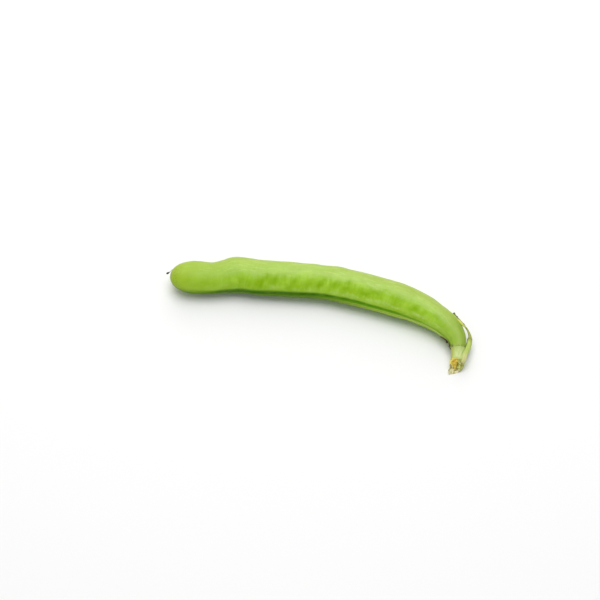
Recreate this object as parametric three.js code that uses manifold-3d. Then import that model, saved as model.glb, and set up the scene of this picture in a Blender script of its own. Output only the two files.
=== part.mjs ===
// A picked broad bean pod that lies on its flat side. Millimetres, +Z up.
// The pod runs along X, with its withered tip at -X and its stalk at +X. Its concave edge, with the
// front seam, faces -Y, and its convex edge, with the back seam, faces +Y.

import * as THREE from "three";
import { mergeVertices } from "three/addons/utils/BufferGeometryUtils.js";
import Module from "manifold-3d";

const wasm = await Module();
wasm.setup();

// The middle line of pod and stalk, from the tip: x, y and height above the surface.
const MIDDLE_LINE = [
  [0, 0.2, 8.8],
  [10, 3.6, 8.1],
  [20.5, 7.2, 8.0],
  [28.5, 11.6, 8.2],
  [35, 15.4, 8.5],
  [44, 17.4, 8.5],
  [60, 22.1, 8.3],
  [79, 27.8, 8.2],
  [97, 30.2, 8.2],
  [116, 31.3, 8.1],
  [129, 30.9, 8.0],
  [141.5, 28.3, 7.8],
  [152.0, 24.5, 7.3],
  [158.3, 19.9, 6.6],
  [161.6, 13.3, 5.3],
  [163.5, 6.7, 3.8],
  [164.5, 0, 2.6],
];

// Places along that line, as distances from the tip.
const NECK_AT = 171.3; // where the pod ends and its stalk starts
const TEAR_AT = 181.8; // middle of the stalk's torn end
const BEANS_AT = [13, 36, 58, 80, 102.5, 125, 145.5];

// Seam to seam width of the pod and its stalk: distance from the tip, width.
const WIDTH = [
  [0, 19.4],
  [12, 19.2],
  [24, 17.9],
  [31, 18.8],
  [38, 20.7],
  [50, 20.3],
  [64, 19.8],
  [120, 19.8],
  [134, 18.9],
  [147, 16.7],
  [159, 13.0],
  [165, 10.5],
  [NECK_AT, 8.2],
  [178, 7.6],
  [188, 7.4],
];
const THICKNESS_SHARE = 0.84; // thickness over width
const TIP_ROUNDING = 12.5; // length over which the blunt tip closes
const SWELLING = 0.7; // how far the flat faces rise from between two beans to a bean
const SWELLING_REACH = 12;

// The front seam is a raised band between two grooves, the back seam a fine keel. Angles are taken
// round the section: 0 is the back seam, 90 the upper face, 180 the front seam, 270 the underside.
const BACK_SEAM = 0;
const FRONT_SEAM = 180;
const BAND_RISE = 0.5;
const BAND_REACH = 14;
const GROOVE_DEPTH = 0.3;
const GROOVE_ANGLE = 15;
const GROOVE_REACH = 6;
const KEEL_RISE = 0.3;
const KEEL_REACH = 10;
const SEAM_WINDING = 120; // degrees round the front seam that wind with it
const SEAM_FADE = 9; // length over which the seams die away at the neck
const SECTION_ANGLES = [0, 5, 11, 20, 32, 46, 61, 76, 91, 106, 121, 135, 147, 157, 164, 169, 173, 177];

// How far the front seam winds towards the underside: distance from the tip, degrees.
const SEAM_TURN = [
  [0, 14],
  [45, 11],
  [72, 7],
  [92, 4],
  [104, 0],
  [117, 0],
  [125, 5],
  [145, 8],
  [NECK_AT, 8],
];

// Steps of the pod's skin along its length.
const TIP_STEPS = 8;
const BODY_STEPS = 70;

const GAP = 0.3; // clearance between neighbouring pieces
const WELD = 1e-3; // points closer than this are one

// The neck steps in on both sides of the joint to hold the ring of the calyx.
const SEAT_REACH = 0.9;
const SEAT_SLOPE = 0.4;
const SEAT_DEPTH = 0.7;

// Calyx lobes: middle as an angle round the neck, length along the pod, half angle at the base.
const CALYX_LOBES = [
  { angle: 182, length: 9.4, halfAngle: 28 },
  { angle: 112, length: 0.9, halfAngle: 24 },
  { angle: 48, length: 1.5, halfAngle: 26 },
  { angle: 322, length: 3.9, halfAngle: 30 },
  { angle: 256, length: 4.8, halfAngle: 30 },
];
const CALYX_WALL = 0.6;
const LOBE_THINNING = 0.3; // share of the wall lost at a lobe's tip
const CALYX_COLUMNS = 44;
const CALYX_ROWS = 7;
const SPUR_AT = 0.45; // the spur's place as a share of the long lobe's length
const SPUR_LENGTH = 0.4; // share of the lobe's length
const SPUR_REACH = 14; // degrees round the neck
const SPUR_RISE = 0.7;

// The torn end of the stalk.
const STALK_SIDES = 24;
const STALK_STEPS = [0.3, 0.55, 0.8, 1]; // rings as shares of the way to the tear
const TEAR_SLANT = 2.3; // how much further the underside runs than the middle
const TEAR_ROUGHNESS = 0.35;
const TONGUE_ANGLE = 208; // a splinter that the tear left
const TONGUE_REACH = 30;
const TONGUE_LENGTH = 3.9;
const HEART_INWARD = 4;
const HEART_SUNK = 1;
const TORN_FACE = [
  { inward: 0.4, sunk: 0 },
  { inward: 0.9, sunk: 0.7 },
  { inward: 1.5, sunk: 0.4 },
  { inward: 2.1, sunk: 1.2 },
  { inward: 2.7, sunk: 0.8 },
];

// Dried flower stem, fused into the stalk: x, y, height and radius.
const FLOWER_STEM = [
  [165.0, 5.6, 3.4, 0.9],
  [166.2, 10.4, 4.4, 1.0],
  [166.9, 14.8, 5.3, 0.92],
  [166.3, 18.2, 6.1, 0.95],
  [165.2, 20.7, 6.8, 1.15],
  [163.9, 23.1, 7.4, 0.6],
  [161.7, 25.7, 8.1, 0.46],
  [159.2, 28.0, 8.8, 0.6],
  [156.5, 29.8, 9.3, 0.45],
  [154.5, 31.2, 9.7, 0.58],
  [152.0, 33.0, 10.2, 0.45],
];
const FLOWER_STEM_SIDES = 9;
const FLOWER_STEM_STEPS = 40;

// Withered style on the tip: x, y, height and radius.
const STYLE = [
  [-1.1, 4.5, 9.2, 0.35],
  [-1.4, 3.5, 9.3, 0.3],
  [-1.7, 2.5, 9.3, 0.32],
  [-2.1, 1.6, 9.2, 0.6],
  [-2.3, 0.8, 9.1, 0.5],
];
const STYLE_SIDES = 8;
const STYLE_STEPS = 12;

const degrees = THREE.MathUtils.degToRad;
const smoothstep = THREE.MathUtils.smoothstep;
const vector = (point) => new THREE.Vector3(point[0], point[1], point[2]);
const middleLine = new THREE.CatmullRomCurve3(MIDDLE_LINE.map(vector), false, "centripetal");
const lineLength = middleLine.getLength();

// A smooth curve through hand-set [place, value] pairs, read at any place.
function profile(pairs) {
  const slope = pairs.map((pair, i) => {
    const before = pairs[Math.max(i - 1, 0)];
    const after = pairs[Math.min(i + 1, pairs.length - 1)];
    return (after[1] - before[1]) / (after[0] - before[0]);
  });
  return (place) => {
    let i = 0;
    while (i < pairs.length - 2 && place > pairs[i + 1][0]) i += 1;
    const [start, startValue] = pairs[i];
    const [end, endValue] = pairs[i + 1];
    const span = end - start;
    const t = THREE.MathUtils.clamp((place - start) / span, 0, 1);
    const t2 = t * t;
    const t3 = t2 * t;
    return (
      (2 * t3 - 3 * t2 + 1) * startValue +
      (t3 - 2 * t2 + t) * span * slope[i] +
      (3 * t2 - 2 * t3) * endValue +
      (t3 - t2) * span * slope[i + 1]
    );
  };
}

// A bump that is 1 in its middle and falls smoothly to 0 at its reach.
function bump(offset, reach) {
  const t = Math.min(Math.abs(offset) / reach, 1);
  return 0.5 + 0.5 * Math.cos(Math.PI * t);
}

// Difference of two angles in degrees, from -180 to 180.
const turn = (a, b) => ((a - b + 540) % 360) - 180;

// Random numbers from 0 to 1 that are the same on every run.
function seeded(seed) {
  let state = seed;
  return () => {
    state = (state * 16807) % 2147483647;
    return state / 2147483647;
  };
}

// The middle line at a distance from the tip: its point, the way to the convex edge and the way up.
function lineAt(distance) {
  const share = THREE.MathUtils.clamp(distance / lineLength, 0, 1);
  const centre = middleLine.getPointAt(share);
  const ahead = middleLine.getTangentAt(share);
  centre.addScaledVector(ahead, distance - share * lineLength);
  const side = new THREE.Vector3(0, 0, 1).cross(ahead).normalize();
  const up = ahead.clone().cross(side);
  return { centre, side, up };
}

const widthAt = profile(WIDTH);
const seamTurnAt = profile(SEAM_TURN);

// Half width and half thickness of the body, with the blunt tip, the beans and the calyx's seat.
function halfSizes(distance) {
  const closed = Math.min(distance / TIP_ROUNDING, 1);
  const closing = Math.sqrt(1 - (1 - closed) ** 2);
  const swell = BEANS_AT.reduce((sum, at) => sum + bump(distance - at, SWELLING_REACH), 0);
  const lift = SWELLING * (swell - 0.5) * smoothstep(NECK_AT - distance, 0, SWELLING_REACH);
  const seat = SEAT_DEPTH * smoothstep(SEAT_REACH + SEAT_SLOPE - Math.abs(distance - NECK_AT), 0, SEAT_SLOPE);
  const halfWidth = widthAt(distance) / 2;
  return [(halfWidth - seat) * closing, (halfWidth * THICKNESS_SHARE + lift - seat) * closing];
}

// How far the seams lift or sink the skin.
function seamRise(distance, angle) {
  const fade = Math.min(distance / TIP_ROUNDING, 1) * smoothstep(NECK_AT - distance, 0, SEAM_FADE);
  const fromFront = turn(angle, FRONT_SEAM);
  const band = BAND_RISE * bump(fromFront, BAND_REACH);
  const groove = GROOVE_DEPTH * bump(Math.abs(fromFront) - GROOVE_ANGLE, GROOVE_REACH);
  const keel = KEEL_RISE * bump(turn(angle, BACK_SEAM), KEEL_REACH);
  return fade * (band - groove + keel);
}

// A point of the body's skin, or one that stands off it by rise.
function bodyPoint(distance, angle, rise = 0) {
  const { centre, side, up } = lineAt(distance);
  const [halfWidth, halfThickness] = halfSizes(distance);
  const wound = degrees(angle + seamTurnAt(distance) * bump(turn(angle, FRONT_SEAM), SEAM_WINDING));
  const across = Math.cos(wound) * halfWidth;
  const lift = Math.sin(wound) * halfThickness;
  const share = 1 + (seamRise(distance, angle) + rise) / Math.max(Math.hypot(across, lift), WELD);
  const point = centre.addScaledVector(side, across * share).addScaledVector(up, lift * share);
  point.z = Math.max(point.z, 0); // the pod rests on small flats where it meets the surface
  return point;
}

function welded(geometry) {
  geometry.deleteAttribute("normal");
  geometry.deleteAttribute("uv");
  return mergeVertices(geometry, WELD);
}

// A closed skin through rings of points, drawn in to one point at each end. It is a sphere's grid of
// faces with each circle of latitude moved to a ring.
function skin(rings) {
  const sides = rings[1].length;
  const geometry = new THREE.SphereGeometry(1, sides, rings.length - 1);
  const position = geometry.attributes.position;
  for (let i = 0; i < position.count; i += 1) {
    const ring = rings[Math.floor(i / (sides + 1))];
    const point = ring[(sides - (i % (sides + 1))) % ring.length];
    position.setXYZ(i, point.x, point.y, point.z);
  }
  return welded(geometry);
}

// A round tube through points that each hold x, y, height and radius.
function thread(points, sides, steps) {
  const curve = new THREE.CatmullRomCurve3(points.map(vector), false, "centripetal");
  const radiusAt = profile(points.map((point, i) => [i / (points.length - 1), point[3]]));
  const { tangents, normals, binormals } = curve.computeFrenetFrames(steps, false);
  const rings = normals.map((normal, i) => {
    const centre = curve.getPointAt(i / steps);
    const radius = radiusAt(curve.getUtoTmapping(i / steps));
    return Array.from({ length: sides }, (_, k) => {
      const angle = (2 * Math.PI * k) / sides;
      return centre
        .clone()
        .addScaledVector(normal, Math.cos(angle) * radius)
        .addScaledVector(binormals[i], Math.sin(angle) * radius);
    });
  });
  const start = curve.getPoint(0).addScaledVector(tangents[0], -points[0][3] / 2);
  const end = curve.getPoint(1).addScaledVector(tangents[steps], points.at(-1)[3] / 2);
  return skin([[start], ...rings, [end]]);
}

function solid(geometry) {
  const vertProperties = geometry.attributes.position.array;
  const triVerts = new Uint32Array(geometry.index.array);
  return new wasm.Manifold(new wasm.Mesh({ numProp: 3, vertProperties, triVerts }));
}

function joined(first, second) {
  const mesh = solid(first).add(solid(second)).getMesh();
  const geometry = new THREE.BufferGeometry();
  geometry.setAttribute("position", new THREE.BufferAttribute(mesh.vertProperties, 3));
  geometry.setIndex(new THREE.BufferAttribute(mesh.triVerts, 1));
  return geometry;
}

function podGeometry() {
  const angles = [
    ...SECTION_ANGLES,
    FRONT_SEAM,
    ...SECTION_ANGLES.slice(1)
      .reverse()
      .map((angle) => 360 - angle),
  ];
  const shoulder = NECK_AT - SEAT_REACH - SEAT_SLOPE;
  const stations = [];
  for (let i = 1; i < TIP_STEPS; i += 1) {
    stations.push(TIP_ROUNDING * (1 - Math.cos(((i / TIP_STEPS) * Math.PI) / 2)));
  }
  for (let i = 0; i <= BODY_STEPS; i += 1) {
    stations.push(TIP_ROUNDING + (i / BODY_STEPS) * (shoulder - TIP_ROUNDING));
  }
  stations.push(shoulder + SEAT_SLOPE, NECK_AT);
  const rings = stations.map((distance) => angles.map((angle) => bodyPoint(distance, angle)));
  return skin([[lineAt(0).centre], ...rings, [lineAt(NECK_AT).centre]]);
}

function stalkGeometry() {
  const random = seeded(7);
  const start = NECK_AT + GAP;
  const angles = Array.from({ length: STALK_SIDES }, (_, k) => (360 * k) / STALK_SIDES);
  const tear = angles.map((angle) => {
    const slant = -TEAR_SLANT * Math.sin(degrees(angle));
    const tongue = TONGUE_LENGTH * bump(turn(angle, TONGUE_ANGLE), TONGUE_REACH);
    return TEAR_AT + slant + tongue + TEAR_ROUGHNESS * (2 * random() - 1);
  });
  const seatEnd = NECK_AT + SEAT_REACH;
  const fixedRings = [start, seatEnd, seatEnd + SEAT_SLOPE].map((distance) =>
    angles.map((angle) => bodyPoint(distance, angle)),
  );
  const skinRings = STALK_STEPS.map((share) =>
    angles.map((angle, k) => bodyPoint(THREE.MathUtils.lerp(seatEnd + SEAT_SLOPE, tear[k], share), angle)),
  );
  const faceRings = TORN_FACE.map(({ inward, sunk }) =>
    angles.map((angle, k) => {
      const rough = TEAR_ROUGHNESS * (2 * random() - 1);
      const level = THREE.MathUtils.lerp(tear[k], TEAR_AT, inward / HEART_INWARD);
      return bodyPoint(level - sunk + rough, angle, -inward);
    }),
  );
  const heart = lineAt(TEAR_AT - HEART_SUNK).centre;
  const stump = skin([[lineAt(start).centre], ...fixedRings, ...skinRings, ...faceRings, [heart]]);
  return joined(stump, thread(FLOWER_STEM, FLOWER_STEM_SIDES, FLOWER_STEM_STEPS));
}

// How far the calyx reaches up the pod from its ring, at an angle round the neck.
function lobeReach(angle) {
  const reaches = CALYX_LOBES.map((lobe) => lobe.length * bump(turn(angle, lobe.angle), lobe.halfAngle));
  return Math.max(...reaches, 0);
}

// The calyx hugs the neck: a ring in its seat, with lobes that climb the shoulder and lie on the pod.
// It is a torus's grid of faces in which each small circle becomes a loop up the outer wall and down
// the inner one.
function calyxGeometry() {
  const loop = 2 * CALYX_ROWS;
  const geometry = new THREE.TorusGeometry(2, 1, loop, CALYX_COLUMNS);
  const position = geometry.attributes.position;
  const ring = SEAT_REACH - GAP;
  for (let i = 0; i < position.count; i += 1) {
    const column = i % (CALYX_COLUMNS + 1);
    const step = Math.floor(i / (CALYX_COLUMNS + 1)) % loop;
    const angle = ((360 * (CALYX_COLUMNS - column)) / CALYX_COLUMNS) % 360;
    const outer = step < CALYX_ROWS;
    const row = outer ? step : loop - 1 - step;
    const reach = lobeReach(angle);
    const climb = Math.min(reach, GAP + SEAT_SLOPE);
    const share = Math.max(row - 2, 0) / (CALYX_ROWS - 3);
    const upPod = [-ring, ring][row] ?? ring + climb + share * (reach - climb);
    const acrossSpur = bump(turn(angle, CALYX_LOBES[0].angle), SPUR_REACH);
    const spur = SPUR_RISE * acrossSpur * bump(share - SPUR_AT, SPUR_LENGTH);
    const wall = outer ? CALYX_WALL * (1 - LOBE_THINNING * share) + spur : 0;
    const point = bodyPoint(NECK_AT - upPod, angle, GAP + wall);
    position.setXYZ(i, point.x, point.y, point.z);
  }
  return welded(geometry);
}

function material(color, roughness) {
  return new THREE.MeshStandardMaterial({ color, roughness, metalness: 0 });
}

const pieces = [
  ["pod", podGeometry(), material(0x8fbc38, 0.42)],
  ["style", thread(STYLE, STYLE_SIDES, STYLE_STEPS), material(0x2c2a24, 0.8)],
  ["calyx", calyxGeometry(), material(0x3a3420, 0.85)],
  ["stalk", stalkGeometry(), material(0xbcc878, 0.6)],
];

const beanPod = new THREE.Group();
for (const [name, geometry, look] of pieces) {
  const mesh = new THREE.Mesh(geometry, look);
  mesh.name = name;
  beanPod.add(mesh);
}

// The origin is on the surface, under the middle of the footprint.
const bounds = new THREE.Box3().setFromObject(beanPod);
beanPod.position.set(-(bounds.min.x + bounds.max.x) / 2, -(bounds.min.y + bounds.max.y) / 2, 0);

export default beanPod;
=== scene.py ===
# A picked broad bean pod that lies on its flat side on a pale floor. Metres, +Z up, pod along X.
import bisect
import math
import random
from types import SimpleNamespace

import bmesh
import bpy
from mathutils import Matrix, Vector, kdtree, noise


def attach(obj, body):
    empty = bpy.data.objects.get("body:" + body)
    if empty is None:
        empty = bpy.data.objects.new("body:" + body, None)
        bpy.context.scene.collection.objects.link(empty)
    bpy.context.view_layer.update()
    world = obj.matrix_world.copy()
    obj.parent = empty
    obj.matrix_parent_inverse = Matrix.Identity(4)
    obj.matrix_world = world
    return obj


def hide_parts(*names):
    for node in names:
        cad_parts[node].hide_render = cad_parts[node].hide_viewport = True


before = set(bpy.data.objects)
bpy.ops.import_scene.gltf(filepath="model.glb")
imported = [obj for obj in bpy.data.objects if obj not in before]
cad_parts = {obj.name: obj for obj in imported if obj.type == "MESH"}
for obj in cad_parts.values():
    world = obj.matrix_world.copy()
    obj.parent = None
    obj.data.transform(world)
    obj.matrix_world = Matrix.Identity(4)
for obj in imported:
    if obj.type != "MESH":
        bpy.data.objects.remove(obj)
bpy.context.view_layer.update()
mm = 0.001
print("frame loaded:", ", ".join(sorted(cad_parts)))

# The body that pod, calyx and stalk share, as in the solids. Millimetres from the tip; distances run
# along the middle line, and angles round it: 0 back seam, 90 upper face, 180 front seam.
body = {
    "tip": (-82.514, -17.777, 0),  # where the tip lies in the solids' frame
    "middleLine": [
        (0, 0.2, 8.8), (10, 3.6, 8.1), (20.5, 7.2, 8.0), (28.5, 11.6, 8.2), (35, 15.4, 8.5),
        (44, 17.4, 8.5), (60, 22.1, 8.3), (79, 27.8, 8.2), (97, 30.2, 8.2), (116, 31.3, 8.1),
        (129, 30.9, 8.0), (141.5, 28.3, 7.8), (152, 24.5, 7.3), (158.3, 19.9, 6.6),
        (161.6, 13.3, 5.3), (163.5, 6.7, 3.8), (164.5, 0, 2.6),
    ],
    "width": [
        (0, 19.4), (12, 19.2), (24, 17.9), (31, 18.8), (38, 20.7), (50, 20.3), (64, 19.8), (120, 19.8),
        (134, 18.9), (147, 16.7), (159, 13.0), (165, 10.5), (171.3, 8.2), (178, 7.6), (188, 7.4),
    ],
    # how far the seams are turned, the front one down and the back one up
    "frontTurn": [
        (0, 27), (32, 26), (45, 23), (60, 17), (76, 11), (92, 7), (104, 4.5), (125, 3), (145, 4), (171.3, 2),
    ],
    "backTurn": [(0, 6), (60, 8), (92, 20), (110, 33), (145, 35), (160, 20), (171.3, 10)],
    "seamWinding": 120,  # degrees on either side of a seam that turn along with it
    "thicknessShare": 0.84,  # of the width
    "tipRounding": 12.5,
    "neckAt": 172.1,
    "tearAt": 181.8,
    "beansAt": [13, 36, 58, 80, 102.5, 125, 145.5],
    "swelling": 0.7,  # from a waist to the top of a bean
    "swellingReach": 12,
    "ribs": 11,  # round the neck and the stump
    "ribSwayScale": 0.2,
}


def clamp(value, low=0.0, high=1.0):
    return max(low, min(high, value))


def smooth(value, low=0.0, high=1.0):  # 0 below low, 1 above high
    t = clamp((value - low) / (high - low))
    return t * t * (3 - 2 * t)


def falling(value, low, high):  # 1 below low, 0 above high
    return 1 - smooth(value, low, high)


def bump(offset, reach):  # 1 in its middle, 0 at its reach
    return 0.5 + 0.5 * math.cos(math.pi * min(abs(offset) / reach, 1))


def hill(offset, width):  # 1 in its middle, almost nothing at hillEnd times its width
    return math.exp(-((offset / width) ** 2))


hillEnd = 3


def turn(a, b):  # difference of two angles in degrees
    return (a - b + 540) % 360 - 180


def raised(form, offset):  # a low form, given by its middle, half width and rise
    middle, halfWidth, rise = form
    return rise * hill(offset - middle, halfWidth)


def raisedRound(form, angle):  # the same round the pod, given by its angle, reach and rise
    middle, reach, rise = form
    return rise * bump(turn(angle, middle), reach)


def rough(*place):  # smooth noise from -1 to 1
    return noise.noise(Vector(place))


def roughBy(scale, *place):
    return rough(*(value * scale for value in place))


def roughRound(scale, angle, height):  # noise that meets itself after a full turn
    a = math.radians(angle)
    return rough(scale * math.cos(a), scale * math.sin(a), height)


def profile(pairs):  # a smooth curve through (place, value) pairs
    places = [place for place, value in pairs]
    slopes = []
    for i in range(len(pairs)):
        before, after = pairs[max(i - 1, 0)], pairs[min(i + 1, len(pairs) - 1)]
        slopes.append((after[1] - before[1]) / (after[0] - before[0]))

    def read(place):
        i = min(max(bisect.bisect_right(places, place) - 1, 0), len(pairs) - 2)
        span = places[i + 1] - places[i]
        t = clamp((place - places[i]) / span)
        return (
            (2 * t**3 - 3 * t**2 + 1) * pairs[i][1]
            + (t**3 - 2 * t**2 + t) * span * slopes[i]
            + (3 * t**2 - 2 * t**3) * pairs[i + 1][1]
            + (t**3 - t**2) * span * slopes[i + 1]
        )

    return read


class Line:  # a smooth line through points, read by its length
    def __init__(self, points, steps=30):
        points = [Vector(p[:3]) for p in points]
        points = [2 * points[0] - points[1]] + points + [2 * points[-1] - points[-2]]
        self.points, self.lengths, self.knots = [points[1].copy()], [0.0], [0.0]
        for p0, p1, p2, p3 in zip(points, points[1:], points[2:], points[3:]):
            d0, d1, d2 = ((b - a).length ** 0.5 for a, b in ((p0, p1), (p1, p2), (p2, p3)))
            out = ((p1 - p0) / d0 - (p2 - p0) / (d0 + d1) + (p2 - p1) / d1) * d1
            back = ((p2 - p1) / d1 - (p3 - p1) / (d1 + d2) + (p3 - p2) / d2) * d1
            for k in range(1, steps + 1):
                t = k / steps
                point = p1 + out * t + (3 * (p2 - p1) - 2 * out - back) * t**2
                point += (2 * (p1 - p2) + out + back) * t**3
                self.lengths.append(self.lengths[-1] + (point - self.points[-1]).length)
                self.points.append(point)
            self.knots.append(self.lengths[-1])
        self.length = self.lengths[-1]

    def at(self, distance):
        i = min(max(bisect.bisect_right(self.lengths, distance), 1), len(self.points) - 1)
        a, b = self.points[i - 1], self.points[i]
        span = self.lengths[i] - self.lengths[i - 1]
        return a.lerp(b, (distance - self.lengths[i - 1]) / span)

    def frame(self, distance, reach=0.4):  # centre, way ahead, way to the convex edge, way up
        ahead = (self.at(distance + reach) - self.at(distance - reach)).normalized()
        side = Vector((0, 0, 1)).cross(ahead).normalized()
        return self.at(distance), ahead, side, ahead.cross(side)


middleLine = Line(body["middleLine"])
widthAt = profile(body["width"])
frontTurnAt = profile(body["frontTurn"])
backTurnAt = profile(body["backTurn"])
tip = Vector(body["tip"])


def bodyRing(distance):  # the cross section at a distance from the tip
    centre, ahead, side, up = middleLine.frame(distance)
    closed = min(distance / body["tipRounding"], 1)
    swell = sum(bump(distance - at, body["swellingReach"]) for at in body["beansAt"])
    beforeNeck = smooth(body["neckAt"] - distance, 0, body["swellingReach"])
    return {
        "distance": distance,
        "centre": centre,
        "side": side,
        "up": up,
        "ahead": ahead,
        "halfWidth": widthAt(distance) / 2,
        "lift": body["swelling"] * (swell - 0.5) * beforeNeck,
        "closing": math.sqrt(max(1 - (1 - closed) ** 2, 0)),
        "front": frontTurnAt(distance),
        "back": backTurnAt(distance),
    }


def bodyPlace(ring, angle):  # how far across and up a point of the plain skin lies
    wound = angle + ring["front"] * bump(turn(angle, 180), body["seamWinding"])
    wound = math.radians(wound + ring["back"] * bump(turn(angle, 0), body["seamWinding"]))
    halfThickness = ring["halfWidth"] * body["thicknessShare"] + ring["lift"]
    across = math.cos(wound) * ring["halfWidth"] * ring["closing"]
    lift = math.sin(wound) * halfThickness * ring["closing"]
    return across, lift


def bodyPoint(ring, angle, rise):
    across, lift = bodyPlace(ring, angle)
    share = 1 + rise / max(math.hypot(across, lift), 0.001)  # the tip's own point has no radius
    point = ring["centre"] + ring["side"] * across * share + ring["up"] * lift * share
    point.z = max(point.z, 0)
    return point


def ribbing(distance, angle):  # fine ribs that run from the pod's neck on to its stump
    return math.cos(body["ribs"] * math.radians(angle) + rough(distance * body["ribSwayScale"], 9, 9))


weldDistance = 0.0004  # mm


def layersFor(bm, name):
    return bm.verts.layers.float_vector if name == "straight" else bm.verts.layers.float


def rolledGrid(rows, columns, place, names):
    # a flat grid is moved to its shape point by point; place gives a point in mm and its layer values
    bm = bmesh.new()
    bm.loops.layers.uv.new("alongAround")
    bmesh.ops.create_grid(bm, x_segments=rows, y_segments=columns, size=0.5, calc_uvs=True)
    layers = [layersFor(bm, name).new(name) for name in names]
    for vert in bm.verts:
        point, values = place(clamp(vert.co.x + 0.5), clamp(vert.co.y + 0.5))
        vert.co = (point + tip) * mm
        for layer, value in zip(layers, values):
            vert[layer] = value
    bmesh.ops.remove_doubles(bm, verts=bm.verts, dist=weldDistance * mm)
    bmesh.ops.recalc_face_normals(bm, faces=bm.faces)
    return bm


def newPiece(name, bm, node, material):
    mesh = bpy.data.meshes.new(name)
    bm.to_mesh(mesh)
    bm.free()
    piece = bpy.data.objects.new(name, mesh)
    bpy.context.scene.collection.objects.link(piece)
    mesh.shade_smooth()
    mesh.materials.append(material)
    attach(piece, "root")
    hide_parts(node)
    print(name, "has", len(mesh.polygons), "faces")


def srgb(red, green, blue):  # a colour as read from a screen, 0 to 255, for a shader socket
    shares = (red / 255, green / 255, blue / 255)
    return (*(s / 12.92 if s <= 0.04 else ((s + 0.055) / 1.055) ** 2.4 for s in shares), 1.0)


class Paint:  # short words for building one material's nodes; colours go by their names in the piece
    def __init__(self, name, colours, **sockets):
        self.material = bpy.data.materials.new(name)
        self.material.use_nodes = True
        self.tree = self.material.node_tree
        self.shader = self.tree.nodes["Principled BSDF"]
        self.tints = {tint: srgb(*colour) for tint, colour in colours.items()}
        for socket, value in sockets.items():
            self.shader.inputs[socket.replace("_", " ")].default_value = value

    def node(self, kind, inputs, output=0, **settings):
        made = self.tree.nodes.new("ShaderNode" + kind)
        for key, value in settings.items():
            setattr(made, key, value)
        for key, value in inputs.items():
            if isinstance(value, bpy.types.NodeSocket):
                self.tree.links.new(value, made.inputs[key])
            else:
                made.inputs[key].default_value = value
        return made.outputs[output]

    def attribute(self, name, output="Fac"):
        return self.node("Attribute", {}, output, attribute_name=name)

    def axis(self, vector, index):
        return self.node("SeparateXYZ", {0: vector}, index)

    def noise(self, place, scale, detail=3.0, roughness=0.5, distortion=0.0):
        inputs = {"Vector": place, "Scale": scale, "Detail": detail, "Roughness": roughness}
        return self.node("TexNoise", {**inputs, "Distortion": distortion}, "Fac")

    def dots(self, place, scale):
        return self.node("TexVoronoi", {"Vector": place, "Scale": scale}, "Distance")

    def stretched(self, place, scale, rotation=(0, 0, 0)):
        return self.node("Mapping", {"Vector": place, "Scale": scale, "Rotation": rotation})

    def times(self, *factors):
        product = factors[0]
        for factor in factors[1:]:
            product = self.node("Math", {0: product, 1: factor}, operation="MULTIPLY")
        return product

    def plus(self, a, b):
        return self.node("Math", {0: a, 1: b}, operation="ADD")

    def ramp(self, value, low, high, start=0.0, end=1.0):
        inputs = {"Value": value, "From Min": low, "From Max": high, "To Min": start, "To Max": end}
        return self.node("MapRange", inputs, interpolation_type="SMOOTHSTEP")

    def within(self, value, rise, fall, left=0.0):  # comes in over the rise, goes over the fall
        return self.times(self.ramp(value, *rise), self.ramp(value, *fall, 1, left))

    def mixed(self, factor, first, second):
        first, second = (self.tints[c] if isinstance(c, str) else c for c in (first, second))
        return self.node("Mix", {0: factor, 6: first, 7: second}, 2, data_type="RGBA")

    def coats(self, colour, *coats):  # laid over a colour in turn, each by its factor
        for factor, coat in coats:
            colour = self.mixed(factor, colour, coat)
        return colour

    def bumped(self, height, distance, strength):
        inputs = {"Height": height, "Distance": distance, "Strength": strength}
        self.set("Normal", self.node("Bump", inputs, "Normal"))

    def set(self, socket, value):
        self.tree.links.new(value, self.shader.inputs[socket])


def wayTo(azimuth, elevation):
    a, e = math.radians(azimuth), math.radians(elevation)
    return Vector((math.sin(a) * math.cos(e), -math.cos(a) * math.cos(e), math.sin(e)))


# The camera stands where the photograph was taken from.
camera = {
    "azimuth": 21.95,
    "elevation": 52.0,
    "distance": 0.99,
    "lens": 110.0,
    "sensor": 36.0,
    "clip": (0.05, 20.0),
    "aim": (71.8, 11.5, 8.3),  # what the photograph's centre shows, in mm from the tip
}


def makeCamera():
    data = bpy.data.cameras.new("camera")
    data.lens = camera["lens"]
    data.sensor_width = camera["sensor"]
    data.clip_start, data.clip_end = camera["clip"]
    made = bpy.data.objects.new("camera", data)
    bpy.context.scene.collection.objects.link(made)
    back = wayTo(camera["azimuth"], camera["elevation"])
    made.location = (Vector(camera["aim"]) + tip) * mm + back * camera["distance"]
    made.rotation_euler = (-back).to_track_quat("-Z", "Y").to_euler()
    bpy.context.scene.camera = made


studio = {
    "worldStrength": 0.48,
    "floorSize": 3.0,
    "floorTone": 0.86,
    # name, azimuth, elevation, distance, size, watts
    "lights": [
        ("overhead", 202, 85, 1.2, 1.2, 10.3),
        ("behind", 202, 35, 1.2, 1.2, 4.5),
    ],
}


def makeWorld():
    scene = bpy.context.scene
    scene.view_settings.view_transform = "Standard"
    scene.view_settings.look = "None"
    scene.world = bpy.data.worlds.new("studioWhite")
    scene.world.use_nodes = True
    background = scene.world.node_tree.nodes["Background"]
    background.inputs["Color"].default_value = (1, 1, 1, 1)
    background.inputs["Strength"].default_value = studio["worldStrength"]


def makeLights():
    for name, azimuth, elevation, distance, size, power in studio["lights"]:
        data = bpy.data.lights.new(name, "AREA")
        data.shape = "DISK"
        data.size = size
        data.energy = power
        light = bpy.data.objects.new(name, data)
        bpy.context.scene.collection.objects.link(light)
        way = wayTo(azimuth, elevation)
        light.location = way * distance
        light.rotation_euler = way.to_track_quat("Z", "Y").to_euler()


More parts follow.
